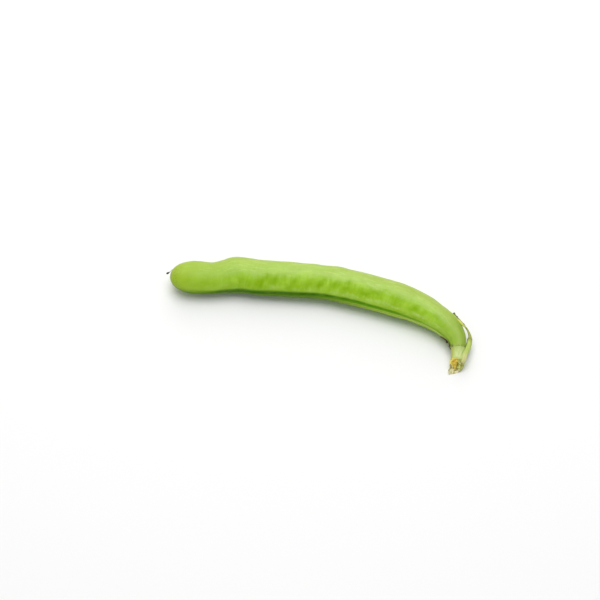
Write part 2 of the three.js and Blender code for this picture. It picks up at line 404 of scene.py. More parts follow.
def makeFloor():
    bm = bmesh.new()
    bmesh.ops.create_grid(bm, x_segments=2, y_segments=2, size=studio["floorSize"])
    mesh = bpy.data.meshes.new("floor")
    bm.to_mesh(mesh)
    bm.free()
    floor = bpy.data.objects.new("floor", mesh)
    bpy.context.scene.collection.objects.link(floor)
    tone = studio["floorTone"]
    paint = Paint("paleFloor", {}, Base_Color=(tone, tone, tone, 1), Roughness=0.9, Specular_IOR_Level=0.1)
    mesh.materials.append(paint.material)


makeCamera()
makeWorld()
makeLights()
makeFloor()
print("camera, light and floor are up")


# The pod.
pod = {
    "rows": 560,
    "columns": 168,
    "tipRows": 0.09,  # share of the rows on the rounded tip
    "crowding": 0.6,  # how much closer the columns stand at the seams
    # front seam: a raised band, wider below and narrower above
    "bandRise": [(0, 0.1), (50, 0.2), (90, 0.4), (120, 0.35), (171.3, 0.25)],
    "bandAngle": 9.5,
    "bandEdge": 5.0,
    "bandWiderShare": 0.38,
    "bandWiderMost": 10,
    "bandNarrower": 4.5,
    "narrowerAlong": (90, 125),
    "narrowerAngles": (0, 8),
    # and the forms on it and beside it: degrees from the seam, half width, rise
    "seamLine": (0, 2.4, -0.1),
    "groove": (15.5, 4.2, -0.42),
    "grooveLoss": 0.6,  # share of its depth that it loses towards the stalk
    "grooveLossAlong": (118, 150),
    "shoulder": (31, 9, 0.16),
    "keel": (0, 3.0, 0.14),  # on the back seam
    "seamUnevenness": 0.3,
    "seamFade": 9.0,  # mm before the neck over which the seams run out
    "wave": 0.16,  # slow unevenness of the skin
    "waveScale": 0.11,
    "fineWaveShare": 0.4,
    "fineWaveScale": 0.3,
    "wrinkle": 0.03,  # fine ripples across the flanks
    "wrinkleAlong": (15, 40),
    "wrinkleFrom": (22, 40),  # degrees from the front seam over which they come in, and go
    "wrinkleTo": (75, 110),
    "neckRib": 0.07,
    "neckRibFrom": 150,
    "skinFade": 6,  # mm behind the tip over which the skin's unevenness comes in
    # low rises and hollows that shape the outline: distance, angle, half length, half width, rise
    "swells": [
        (8, 190, 9, 42, -0.75), (19, 195, 8, 38, -0.2), (146, 190, 13, 40, -0.75),
        (17, 30, 6, 42, 0.3), (29, 30, 8, 42, 0.5), (34.5, 30, 3, 42, 0.2), (40.5, 38, 3.5, 42, -0.4),
        (66.5, 25, 6, 42, 0.55), (83, 25, 4, 42, -0.35), (91, 20, 5, 42, 0.6), (147, 20, 4, 35, -0.3),
        (158, 20, 5, 35, 0.85), (149, 186, 6, 35, -0.5), (9, 45, 4, 32, -0.28),
    ],
    # deeper green patches, partly painted shade of shallow hollows in the skin: distance, angle, half their
    # length and height, strength
    "deepAndShadedPatches": [
        (9, 124, 3, 12, 0.3), (21, 112, 3, 16, 0.45), (25, 127, 2.5, 9, 0.4), (32, 140, 3, 7, 0.4),
        (40.5, 126, 1.8, 14, 0.6), (45.5, 133, 2.5, 10, 0.5), (50.8, 128, 2.2, 20, 1.0),
        (53.5, 112, 2.4, 12, 0.9), (58, 119, 2.6, 19, 1.0), (62.6, 113, 1.6, 12, 0.6),
        (65.5, 140, 1.6, 9, 0.6), (68.5, 122, 1.7, 16, 0.85), (76.2, 127, 2.5, 14, 0.75),
        (82.8, 130, 2.6, 15, 1.0), (85.8, 110, 1.6, 10, 0.8), (92.2, 119, 3.2, 14, 1.0),
        (98.6, 108, 2.4, 11, 0.95), (98.6, 127, 3, 10, 1.0), (109.5, 128, 3.2, 12, 0.95),
        (115, 116, 3.6, 12, 1.0), (119, 102, 2.8, 8, 0.8), (127.4, 118, 3, 12, 0.6),
        (138.8, 124, 2.8, 17, 1.0), (145, 118, 2.2, 11, 0.5), (150.6, 110, 3, 12, 0.6),
        (157.5, 128, 3, 12, 0.6),
    ],
    # painted glints: pale patches where the shoulder above the groove catches the light, and one on the upper
    # face by the neck
    "paintedGlints": [
        (30, 136, 3, 6, 0.3), (57, 143, 3, 5, 0.6), (69.8, 147, 2, 5, 0.5), (77, 147, 2.5, 5, 0.5),
        (93, 146, 3, 6, 0.8), (98.5, 149, 3, 6, 0.9), (104, 150, 3, 5, 0.6), (112.2, 146, 3, 6, 0.8),
        (117, 145, 3, 6, 0.9), (122, 144, 3.5, 6, 0.9), (128, 147, 3, 6, 0.9), (141.5, 143, 2.5, 7, 1.0),
        (145, 140, 2, 7, 0.7), (154, 140, 3.5, 8, 0.8), (160, 143, 3, 8, 0.6), (156, 58, 3, 14, 0.6),
    ],
    "patchSlant": 0.07,  # mm along the pod for each degree that a patch reaches round it
    "patchWander": (1.1, 7),  # mm along and degrees round that their edges wander
    "undersideShift": 9,  # mm that those of the underside are moved along
    # some of these paint light and shade: a sheen, glints, shade in the grooves, shadow on the band by the
    # tip, shade along the neck and in hollows of the flank
    "colours": {
        "skin": (147, 190, 32), "skinLit": (163, 204, 62), "mottle": (176, 210, 96),
        "flankStreak": (136, 179, 0), "deepAndShadedGreen": (127, 171, 0), "paintedGlint": (184, 214, 116),
        "paintedSheen": (177, 199, 120), "backYellow": (153, 168, 62), "backOfFirstBeans": (158, 166, 78),
        "vein": (150, 182, 62), "paleStreak": (198, 222, 132), "darkStreak": (152, 186, 70),
        "firstBean": (148, 180, 50), "tip": (160, 188, 48),
        "neck": (142, 170, 66), "neckSideShade": (118, 148, 38),
        "shadowedBandAtTip": (84, 122, 4), "bandMiddle": (160, 192, 60), "bandAtStalk": (184, 208, 100),
        "grooveShadeAtTip": (62, 112, 0), "grooveShadeAtStalk": (90, 150, 0),
        "seamLine": (126, 128, 66), "backSeam": (196, 206, 130),
        "freckle": (134, 130, 38), "tipEdge": (104, 92, 44), "pore": (196, 220, 132),
    },
}
bandRiseAt = profile(pod["bandRise"])


def fromSeam(distance, angle):  # degrees from the front seam, as its uneven band counts them
    offset = turn(angle, 180)
    if offset > 0:
        return offset - min(pod["bandWiderShare"] * offset, pod["bandWiderMost"])
    narrower = smooth(distance, *pod["narrowerAlong"]) * smooth(-offset, *pod["narrowerAngles"])
    return -offset + pod["bandNarrower"] * narrower


def seamRise(distance, angle):
    fromFront, fromBack = fromSeam(distance, angle), abs(turn(angle, 0))
    uneven = 1 + pod["seamUnevenness"] * rough(distance * 0.5, 3.1, fromFront * 0.02)
    edge = smooth(fromFront, pod["bandAngle"] - pod["bandEdge"], pod["bandAngle"] + pod["bandEdge"])
    rise = bandRiseAt(distance) * (1 - edge) + raised(pod["seamLine"], fromFront) * uneven
    grooveLeft = 1 - pod["grooveLoss"] * smooth(distance, *pod["grooveLossAlong"])
    rise += raised(pod["groove"], fromFront) * uneven * grooveLeft
    comingAndGoing = 0.6 + 0.8 * rough(distance * 0.12, 7.7, angle * 0.005)
    rise += raised(pod["shoulder"], fromFront) * comingAndGoing
    return rise + raised(pod["keel"], fromBack) * uneven


def skinRise(ring, angle):
    distance, fromFront = ring["distance"], fromSeam(ring["distance"], angle)
    across, lift = bodyPlace(ring, angle)
    wave = roughBy(pod["waveScale"], distance, across, lift)
    wave += pod["fineWaveShare"] * roughBy(pod["fineWaveScale"], distance, across, lift)
    flank = smooth(fromFront, *pod["wrinkleFrom"]) * falling(fromFront, *pod["wrinkleTo"])
    flank *= smooth(distance, *pod["wrinkleAlong"])
    wrinkle = rough(distance * 0.55 + across * 0.16, across * 0.13, lift * 0.13)  # short along, long across
    ribs = ribbing(distance, angle) * smooth(distance, pod["neckRibFrom"], body["neckAt"])
    rise = pod["wave"] * wave + pod["wrinkle"] * wrinkle * flank + pod["neckRib"] * ribs
    for at, middle, long, wide, swell in pod["swells"]:
        if abs(distance - at) < hillEnd * long:
            rise += swell * hill(distance - at, long) * hill(turn(angle, middle), wide)
    return rise


def podRise(ring, angle):  # mm that the skin stands out from the plain body
    distance = ring["distance"]
    fade = min(distance / body["tipRounding"], 1) * smooth(body["neckAt"] - distance, 0, pod["seamFade"])
    return fade * seamRise(distance, angle) + skinRise(ring, angle) * min(distance / pod["skinFade"], 1)


def patchAt(patches, distance, angle):  # strength of the strongest patch at a place
    if angle > 180:  # the underside has the same ones, shifted
        distance, angle = distance + pod["undersideShift"], 360 - angle
    alongWander, roundWander = pod["patchWander"]
    distance += alongWander * rough(distance * 0.35, angle * 0.06, 1)
    angle += roundWander * rough(distance * 0.35, angle * 0.06, 5)
    strongest = 0.0
    for at, middle, long, tall, strength in patches:
        offset = distance - at + pod["patchSlant"] * (angle - middle)
        if abs(offset) < hillEnd * long:
            strongest = max(strongest, strength * hill(offset, long) * hill(angle - middle, tall))
    return strongest


def podPlace():
    rings = {}  # one for each row, worked out once

    def place(along, around):
        if along < pod["tipRows"]:
            distance = body["tipRounding"] * (1 - math.cos(along / pod["tipRows"] * math.pi / 2))
        else:
            share = (along - pod["tipRows"]) / (1 - pod["tipRows"])
            distance = body["tipRounding"] + share * (body["neckAt"] - body["tipRounding"])
        row = round(along * 1e5)
        if row not in rings:
            rings[row] = bodyRing(distance)
        ring = rings[row]
        v = around + 0.75  # the columns start on the underside
        angle = 360 * (v - pod["crowding"] / (4 * math.pi) * math.sin(4 * math.pi * v)) % 360
        across, lift = bodyPlace(ring, angle)
        point = ring["centre"] if along > 0.9999 else bodyPoint(ring, angle, podRise(ring, angle))
        # deep carries the deeper patches, partly painted shade, and pale the painted glints
        deep = patchAt(pod["deepAndShadedPatches"], distance, angle)
        pale = patchAt(pod["paintedGlints"], distance, angle)
        fromFront, fromBack = fromSeam(distance, angle), abs(turn(angle, 0))
        return point, (Vector((distance, across, lift)), fromFront, fromBack, deep, pale)

    return place


# In the ramps below distances are in mm from the tip, and fromFront and fromBack in degrees.
def skinSockets(paint):
    place = paint.attribute("straight", "Vector")
    return SimpleNamespace(
        place=place,
        distance=paint.axis(place, 0),
        fromFront=paint.attribute("fromFront"),
        fromBack=paint.attribute("fromBack"),
        deep=paint.attribute("deep"),
        pale=paint.attribute("pale"),
        slow=paint.noise(paint.stretched(place, (0.7, 1, 1)), 0.16, 3.0, 0.55),
        fine=paint.noise(place, 0.8, 4.0, 0.6),
        streak=paint.noise(paint.stretched(place, (1, 0.22, 0.22), (0, 0, 0.25)), 0.62, 2.5, 0.5, 0.5),
    )


def flankColour(paint, skin):
    # a mottled green, deeper in the flank, broken up by fine streaks that run across the pod;
    # deeper patches are partly painted shade of shallow hollows, and the pale ones are painted glints
    flank = paint.within(skin.fromFront, (24, 40), (70, 88))
    alongFlank = paint.within(skin.distance, (12, 45), (112, 150), 0.25)
    streaks = paint.times(paint.ramp(skin.streak, 0.44, 0.64), flank, alongFlank, 0.4)
    broken = paint.plus(paint.times(skin.streak, 0.8), paint.times(skin.fine, 0.8))
    return paint.coats(
        paint.mixed(paint.ramp(skin.slow, 0.36, 0.66), "skin", "skinLit"),
        (paint.ramp(skin.fine, 0.45, 0.8, 0, 0.42), "mottle"),
        (streaks, "flankStreak"),
        (paint.times(skin.deep, paint.ramp(broken, 0.45, 0.95, 0.65, 1.0)), "deepAndShadedGreen"),
        (paint.times(skin.pale, paint.ramp(skin.fine, 0.3, 0.7, 0.3, 0.8)), "paintedGlint"),
    )


def backColour(paint, skin, colour):
    # a painted sheen: a pale highlight on the upper side by the back seam, yellower along the seam itself
    wander = paint.times(paint.plus(skin.slow, paint.times(skin.streak, 0.6)), 26)
    sheenEdge = paint.plus(skin.fromBack, wander)
    sheenEdge = paint.plus(sheenEdge, paint.ramp(skin.distance, 40, 75, -6, 0))
    paintedSheen = paint.times(
        paint.ramp(sheenEdge, 108, 140, 1, 0),
        paint.ramp(skin.deep, 0.1, 0.9, 1, 0.35),
        paint.ramp(skin.distance, 20, 80, 0.4, 0.56),
    )
    alongBack, nearBack = paint.ramp(skin.fromBack, 25, 95, 1, 0), paint.ramp(skin.fromBack, 60, 100, 0.24, 0)
    return paint.coats(
        colour,
        (paintedSheen, "paintedSheen"),
        (paint.times(alongBack, paint.ramp(skin.distance, 100, 135, 0.42, 0.56)), "backYellow"),
        (paint.times(nearBack, paint.ramp(skin.distance, 38, 62, 1, 0)), "backOfFirstBeans"),
    )


def faintStreaks(paint, skin, colour):
    # on the upper side with the painted sheen, some across the pod and some along it
    along = paint.noise(paint.stretched(skin.place, (0.16, 1, 1)), 0.9, 3.0, 0.6)
    upper = paint.ramp(skin.fromFront, 60, 85)
    return paint.coats(
        colour,
        (paint.times(paint.ramp(skin.streak, 0.5, 0.66), paint.ramp(skin.fromFront, 80, 105), 0.2), "vein"),
        (paint.times(paint.ramp(along, 0.5, 0.68, 0, 0.3), upper), "paleStreak"),
        (paint.times(paint.ramp(along, 0.34, 0.48, 0.25, 0), upper), "darkStreak"),
    )


def endColours(paint, skin, colour):
    # the first bean is deeper, the neck greyer and the tip yellower; painted shade lies along one side of the
    # neck, where the flower stem shades it
    neckSideShade = paint.within(skin.fromBack, (8, 30), (46, 66))
    return paint.coats(
        colour,
        (paint.times(paint.within(skin.distance, (4, 13), (22, 38)), 0.28), "firstBean"),
        (paint.ramp(skin.distance, 148, 168, 0, 0.65), "neck"),
        (paint.times(neckSideShade, paint.ramp(skin.distance, 154, 164, 0, 0.4)), "neckSideShade"),
        (paint.ramp(skin.distance, 0, 22, 0.65, 0), "tip"),
    )


def seamColours(paint, skin, colour):
    # front seam: a pale band in painted shadow towards the tip, painted shade in the grooves beside it, and a
    # fine line; back seam: a pale line
    # towards the tip the band is darkened with painted shadow, giving way to its own pale green
    band = paint.mixed(paint.ramp(skin.distance, 75, 125), "shadowedBandAtTip", "bandMiddle")
    band = paint.mixed(paint.ramp(skin.distance, 118, 150), band, "bandAtStalk")
    # painted shade that darkens the groove beside the band, wider and darker towards the tip
    grooveShadeEdge = paint.plus(skin.fromFront, paint.ramp(skin.distance, 45, 95, -6, 0))
    groove = paint.times(
        paint.ramp(skin.fromFront, 6, 11),
        paint.ramp(grooveShadeEdge, 15, 28, 1, 0),
        paint.ramp(skin.distance, 3, 34, 0.25, 1),
        paint.ramp(paint.noise(skin.place, 0.22, 2.0), 0.3, 0.65, 0.86, 1.0),
        paint.ramp(skin.distance, 118, 156, 0.98, 0.3),
    )
    return paint.coats(
        colour,
        (paint.ramp(skin.fromFront, 8.5, 13, 0.9, 0), band),
        (groove, paint.mixed(paint.ramp(skin.distance, 70, 125), "grooveShadeAtTip", "grooveShadeAtStalk")),
        (paint.ramp(skin.fromFront, 0.8, 3.4, 0.22, 0), "seamLine"),
        (paint.ramp(skin.fromBack, 0.8, 2.6, 0.35, 0), "backSeam"),
    )


def smallMarks(paint, skin, colour):
    # brown freckles and a thin brown edge on the tip, pale pores all over
    freckle = paint.ramp(paint.noise(skin.place, 1.9, 2.0, 0.6), 0.5, 0.62)
    pores = paint.ramp(paint.dots(skin.place, 1.3), 0.0, 0.17, 1, 0)
    return paint.coats(
        colour,
        (paint.times(freckle, paint.ramp(skin.distance, 0.5, 8, 0.8, 0)), "freckle"),
        (paint.ramp(skin.distance, 0.0, 0.5, 0.6, 0), "tipEdge"),
        (paint.times(pores, paint.ramp(skin.fine, 0.45, 0.6), 0.3), "pore"),
    )


def podMaterial():
    paint = Paint(
        "podSkin", pod["colours"], Specular_IOR_Level=0.09, Subsurface_Weight=0.08,
        Subsurface_Scale=2 * mm, Subsurface_Radius=(0.6, 1.0, 0.2),
    )
    skin = skinSockets(paint)
    colour = flankColour(paint, skin)
    for coat in (backColour, faintStreaks, endColours, seamColours, smallMarks):
        colour = coat(paint, skin, colour)
    paint.set("Base Color", colour)
    paint.set("Roughness", paint.ramp(skin.fine, 0.3, 0.7, 0.34, 0.46))
    grain = paint.noise(paint.stretched(skin.place, (1.0, 1.6, 1.6)), 2.6, 4.0, 0.65)
    paint.bumped(paint.plus(grain, paint.times(skin.streak, 0.4)), 0.08 * mm, 0.5)
    return paint.material


def makePod():
    names = ["straight", "fromFront", "fromBack", "deep", "pale"]
    bm = rolledGrid(pod["rows"], pod["columns"], podPlace(), names)
    newPiece("podSkin", bm, "pod", podMaterial())


makePod()


# The stalk: a stump with a torn end and the dried flower stem that grew from it.
stalk = {
    "rows": 130,
    "columns": 130,
    "start": -0.6,  # from the neck
    "skinShare": 0.55,  # share of the rows on the outer skin
    "slant": 2.3,  # of the tear
    # how ragged the tear is: rise, and how many ups and downs go round
    "raggedness": [(0.45, 2.2, 5), (0.27, 9, 8)],
    # parts of the rind that stand out past the tear: angle, reach, length
    "flaps": [(205, 42, 3.1), (238, 50, 1.8), (262, 75, 1.3), (325, 50, -0.6)],
    "flapSharpness": 1.2,
    "flapCurl": 0.8,
    "flapCurlOver": (1.0, 3.4),
    "bleed": (165, 75, 1.3),  # angle, reach, and how far the torn colour runs up the rind
    "rind": 0.16,  # share of the radius
    # rings of the torn face: share of the radius, half width, depth
    "hollow": (0.7, 0.12, 0.5),
    "bundleRing": (0.52, 0.1, -0.45),
    "bundles": 9,
    "pith": (0.12, 0.2, 0.9),
    "faceRoughness": [(0.55, 4), (0.35, 11)],  # rise, and ups and downs across
    "ribs": 0.07,
    "unevenness": 0.12,
    "rimSwell": (0.86, 0.1, 0.15),  # share of the skin's length, half length, rise
    "rimWorn": (0.93, 0.2),  # share of the skin's length from which it thins, and by how much
    "voxel": 0.12,
    "voxelSmoothing": 0.4,
    # dried flower stem and a torn bract on it: x, y, height and radius in mm
    "flowerStem": [
        (165.6, 6.3, 4.5, 0.95), (166.1, 7.9, 5.3, 1.2), (166.1, 9.8, 5.95, 1.36),
        (165.7, 13.2, 5.8, 1.44), (165.7, 17.1, 5.2, 1.54), (165.3, 20.7, 5.5, 1.36),
        (164.8, 22.7, 5.9, 1.2), (164.4, 24.0, 6.2, 0.86), (163.3, 25.6, 6.7, 0.6),
        (161.9, 27.0, 7.1, 0.52), (160.2, 28.3, 7.5, 0.48), (158.5, 29.4, 7.8, 0.5),
        (156.6, 30.5, 8.3, 0.4), (154.0, 31.8, 8.8, 0.45), (151.6, 33.4, 9.3, 0.48),
    ],
    "bract": [
        (160.8, 28.0, 7.5, 0.4), (160.1, 27.5, 8.6, 0.55), (159.1, 27.3, 9.6, 0.66),
        (157.9, 27.7, 10.3, 0.62), (156.8, 28.3, 10.7, 0.5), (155.8, 28.8, 10.9, 0.34),
        (154.7, 29.3, 11.0, 0.12),
    ],
    "bractFlatness": 0.55,
    "stemRows": 300,
    "stemColumns": 28,
    # knots: share of the way along, rise, half length, darkness
    "knots": [
        (0, 0, 0.035, 0.6), (0.48, 0.14, 0.016, 0.35), (0.75, 0.3, 0.013, 1), (0.91, 0.26, 0.012, 1),
        (0.985, 0.22, 0.016, 1),
    ],
    # painted shade along the crease where the flower stem leaves the stump: from and to (distance, angle),
    # and its half width
    "creaseShade": ((172.2, 20), (177.8, 66), 4.5),
    "fibres": 60,
    "seed": 11,
    "fibreRings": [0.95, 0.9, 0.6, 0.5, 0.35],  # shares of the radius that they stand at
    "fibreShift": (0.92, 1.02),
    "fibreSplay": 0.3,
    "fibreLength": (0.5, 1.3),
    "fibreRadius": (0.06, 0.12),
    "fibreRoot": 0.3,  # mm of each that stays in the face
    "colours": {
        "stump": (180, 198, 108), "stumpLit": (204, 214, 150), "stumpBlotch": (158, 184, 80),
        "stumpBelow": (164, 186, 84), "stumpAtPod": (152, 178, 74), "stumpSide": (172, 174, 66),
        # the crease colour is painted shade along the crease beside the flower stem
        "creaseShade": (124, 150, 40), "stemFresh": (172, 192, 88), "stemOlive": (144, 152, 44),
        "stemFoot": (210, 206, 142), "stemDry": (98, 92, 36), "bract": (204, 208, 86),
        "stemGrain": (204, 212, 118), "knot": (52, 42, 22),
        "orangeLow": (224, 190, 52), "orangeHigh": (220, 162, 28), "orangeFibre": (250, 232, 92),
        "orangeRim": (244, 230, 94), "olive": (158, 170, 58), "oliveFibre": (236, 240, 140),
        "darkFibre": (96, 78, 16), "crack": (98, 92, 8), "brownRim": (122, 84, 30),
        "cream": (226, 222, 168), "creamShade": (150, 136, 68),
    },
}
# torn is 1 in the middle of the torn face; stem runs along the flower stem, and is past 1 on the bract
# the fourth layer holds dark knots and fibres, and the painted shade along the crease
stalkLayers = ["straight", "torn", "stem", "mark", "lip"]

# How the flower stem, the bract and the style are drawn: twigs with knots and low ridges.
twig = {
    "ridges": 5,
    "ridgeRise": 0.07,  # share of the radius
    "ridgeTwist": 8,
    "unevenness": 0.12,  # share of the radius
    "unevenScale": 0.9,
    "endRounding": 0.4,
}


def plainTear(angle, share=1.0):
    return body["tearAt"] - stalk["slant"] * share * math.sin(math.radians(angle))


def tearAt(angle):
    tear = plainTear(angle)
    for middle, reach, length in stalk["flaps"]:
        tear += length * bump(turn(angle, middle), reach) ** stalk["flapSharpness"]
    for rise, scale, height in stalk["raggedness"]:
        tear += rise * roughRound(scale, angle, height)
    return tear


def tornDepth(share, angle):  # how deep the torn face lies, at a share of the radius
    a = math.radians(angle)
    x, y = share * math.cos(a), share * math.sin(a)
    bundles = 0.5 + 0.5 * math.cos(stalk["bundles"] * a + 1)
    depth = raised(stalk["hollow"], share) + raised(stalk["bundleRing"], share) * bundles
    depth += raised(stalk["pith"], share)
    uneven = sum(rise * rough(scale * x, scale * y, 0) for rise, scale in stalk["faceRoughness"])
    return depth + uneven * smooth(1 - share, 0, 0.25)


def stumpSkin(share, angle):  # distance, lip and bleed of a point of the outer skin
    start, tear = body["neckAt"] + stalk["start"], tearAt(angle)
    distance = start + (tear - start) * share
    lip = clamp((distance - plainTear(angle)) / 0.8)
    worn = raisedRound(stalk["bleed"], angle) * (0.7 + roughRound(5, angle, 3))
    return distance, lip, 0.05 * smooth(distance + worn, tear - 0.3, tear)


def stumpFace(torn, angle):  # the same of a point of the torn face
    tear, rind = tearAt(angle), stalk["rind"]
    inside = smooth(torn, 0.02, rind)
    distance = tear + (plainTear(angle, 1 - torn) - tear) * inside - tornDepth(1 - torn, angle)
    lip = clamp((tear - plainTear(angle)) / 1.2) * falling(torn, rind, rind + 0.08)
    return distance, lip, 0.0


def stumpRise(distance, share, angle):
    a = math.radians(angle)
    wornFrom, worn = stalk["rimWorn"]
    rise = stalk["ribs"] * ribbing(distance, angle)
    rise += stalk["unevenness"] * rough(distance * 0.35, 3 * math.cos(a), 3 * math.sin(a))
    rise += raised(stalk["rimSwell"], share) - worn * smooth(share, wornFrom, 1)
    return rise + stalk["flapCurl"] * smooth(distance - plainTear(angle), *stalk["flapCurlOver"])


# how strongly the painted shade along the crease lies on a point of the stump
def creaseShadeAt(distance, angle):
    (start, firstAngle), (end, lastAngle), halfWidth = stalk["creaseShade"]
    middle = firstAngle + (lastAngle - firstAngle) * (distance - start) / (end - start)
    alongIt = bump(2 * distance - start - end, end - start + 1)
    return (hill(turn(angle, middle), halfWidth) * alongIt) ** 0.7


def ringBefore(distance):  # the middle line ends a little after the tear
    return bodyRing(min(distance, middleLine.length - 0.5))


def stumpPlace(along, around):
    angle = 360 * around
    torn = clamp((along - stalk["skinShare"]) / (1 - stalk["skinShare"]))
    share = clamp(along / stalk["skinShare"])
    distance, lip, bleed = stumpFace(torn, angle) if torn > 0 else stumpSkin(share, angle)
    ring = ringBefore(distance)
    ring["centre"] += ring["ahead"] * (distance - ring["distance"])
    across, lift = bodyPlace(ring, angle)
    rise = stumpRise(distance, share, angle) * (1 - torn) - torn * math.hypot(across, lift)
    point = ring["centre"] if along == 0 or torn > 0.9999 else bodyPoint(ring, angle, rise)
    where = Vector((distance, across * (1 - torn), lift * (1 - torn)))
    return point, (where, max(torn, bleed), 0.0, creaseShadeAt(distance, angle), lip)


def twigPlace(points, knots=(), flatness=1.0, stemFrom=0.02):
    line = Line(points)
    radiusAt = profile([(knot, p[3]) for knot, p in zip(line.knots, points)])

    def place(along, around):
        distance = line.length * along
        centre, ahead, side, up = line.frame(distance, 0.2)
        a = 2 * math.pi * around
        radius, mark = radiusAt(distance), 0.0
        for at, rise, long, dark in knots:
            radius += rise * hill(along - at, long) * (0.75 + 0.5 * math.cos(a - 9 * at))
            mark = max(mark, dark * hill(along - at, long * 0.8))
        ridges = twig["ridgeRise"] * math.sin(twig["ridges"] * a + along * twig["ridgeTwist"])
        uneven = twig["unevenness"] * rough(distance * twig["unevenScale"], math.cos(a), math.sin(a))
        radius *= 1 + ridges + uneven
        radius *= math.sqrt(clamp(min(along, 1 - along) * line.length / twig["endRounding"]))
        point = centre + side * math.cos(a) * radius + up * math.sin(a) * radius * flatness
        where = Vector((distance, math.cos(a), math.sin(a)))
        return point, (where, 0.0, stemFrom + 0.98 * along, mark, 0.0)

    return place


def addFibres(bm, layers):
    rng = random.Random(stalk["seed"])
    layer = dict(zip(stalkLayers, layers))
    for i in range(stalk["fibres"]):
        share = rng.choice(stalk["fibreRings"]) * rng.uniform(*stalk["fibreShift"])
        angle = rng.uniform(0, 360)
        distance = plainTear(angle, share) - tornDepth(share, angle)
        ring = ringBefore(distance)
        across, lift = bodyPlace(ring, angle)
        root = ring["centre"] + (ring["side"] * across + ring["up"] * lift) * share
        splay = stalk["fibreSplay"]
        way = ring["ahead"] + ring["side"] * rng.gauss(0, splay) + ring["up"] * rng.gauss(0, splay)
        way.normalize()
        length = rng.uniform(*stalk["fibreLength"])
        radius = rng.uniform(*stalk["fibreRadius"])
        centre = root + way * (length / 2 - stalk["fibreRoot"])
        centre.z = max(centre.z, length * abs(way.z) / 2 + radius)  # none goes into the floor
        turned = way.to_track_quat("Z", "Y").to_matrix().to_4x4()
        made = bmesh.ops.create_cone(
            bm, cap_ends=True, segments=6, radius1=radius * mm, radius2=radius * 0.3 * mm,
            depth=length * mm, matrix=Matrix.Translation((centre + tip) * mm) @ turned,
        )
        for vert in made["verts"]:
            vert[layer["straight"]] = Vector((distance + i, across, lift))
            vert[layer["torn"]] = 1 - share
            vert[layer["mark"]] = 0.3 * rng.random()
            vert[layer["lip"]] = rng.random()


def joined(first, *others):
    for other in others:
        mesh = bpy.data.meshes.new("joined")
        other.to_mesh(mesh)
        other.free()
        first.from_mesh(mesh)
        bpy.data.meshes.remove(mesh)
    return first


def voxelled(bm, voxel):  # one closed skin round all the overlapping shapes
    mesh = bpy.data.meshes.new("raw")
    bm.to_mesh(mesh)
    holder = bpy.data.objects.new("raw", mesh)
    bpy.context.scene.collection.objects.link(holder)
    step = holder.modifiers.new("voxels", "REMESH")
    step.mode = "VOXEL"
    step.voxel_size = voxel * mm
    view = bpy.context.evaluated_depsgraph_get()
    skin = bpy.data.meshes.new_from_object(holder.evaluated_get(view))
    fresh = bmesh.new()
    fresh.from_mesh(skin)
    bpy.data.objects.remove(holder)
    bpy.data.meshes.remove(mesh)
    bpy.data.meshes.remove(skin)
    return fresh


def remeshed(bm, voxel, smoothing, names):  # the layers are carried over from the nearest old point
    fresh = voxelled(bm, voxel)
    tree = kdtree.KDTree(len(bm.verts))
    bm.verts.ensure_lookup_table()
    for vert in bm.verts:
        tree.insert(vert.co, vert.index)
    tree.balance()
    old = [layersFor(bm, name)[name] for name in names]
    new = [layersFor(fresh, name).get(name) or layersFor(fresh, name).new(name) for name in names]
    for vert in fresh.verts:
        nearest = bm.verts[tree.find(vert.co)[1]]
        for source, target in zip(old, new):
            vert[target] = nearest[source]
    bmesh.ops.smooth_vert(
        fresh, verts=fresh.verts, factor=smoothing, use_axis_x=True, use_axis_y=True, use_axis_z=True
    )
    bm.free()
    return fresh, new


def rindSockets(paint):
    place = paint.attribute("straight", "Vector")
    return SimpleNamespace(
        distance=paint.axis(place, 0),
        across=paint.axis(place, 1),
        lift=paint.axis(place, 2),
        torn=paint.attribute("torn"),
        stem=paint.attribute("stem"),
        mark=paint.attribute("mark"),
        lip=paint.attribute("lip"),
        grain=paint.noise(paint.stretched(place, (0.3, 2.0, 2.0)), 0.8, 4.0, 0.55),
        blotch=paint.noise(place, 0.7, 3.0, 0.6),
        fibre=paint.noise(paint.stretched(place, (0.5, 1.6, 1.6)), 1.3, 4.0, 0.65),
    )


def stumpColour(paint, rind):
    # pale on top, greener at its sides and where it leaves the pod, with painted shade along the crease
    # beside the flower stem
    return paint.coats(
        paint.mixed(paint.ramp(rind.grain, 0.35, 0.7), "stump", "stumpLit"),
        (paint.ramp(rind.blotch, 0.5, 0.75, 0, 0.35), "stumpBlotch"),
        (paint.ramp(rind.lift, 0.0, 3.0, 0.5, 0), "stumpBelow"),
        (paint.ramp(rind.distance, 171.5, 176.5, 0.75, 0), "stumpAtPod"),
        (paint.ramp(rind.across, -3.4, -1.6, 0.6, 0), "stumpSide"),
        (paint.times(rind.mark, 0.65), "creaseShade"),
    )


def flowerStemColour(paint, rind):
    # fresh green above its pale foot, olive and brown where it dried
    return paint.coats(
        paint.mixed(paint.ramp(rind.stem, 0.38, 0.53), "stemFresh", "stemOlive"),
        (paint.ramp(rind.stem, 0.12, 0.22, 0.8, 0), "stemFoot"),
        (paint.ramp(rind.stem, 0.7, 0.98, 0, 0.6), "stemDry"),
        (paint.ramp(rind.stem, 1.2, 1.8), "bract"),
        (paint.ramp(rind.grain, 0.5, 0.72, 0, 0.45), "stemGrain"),
        (paint.times(rind.mark, 0.9), "knot"),
    )


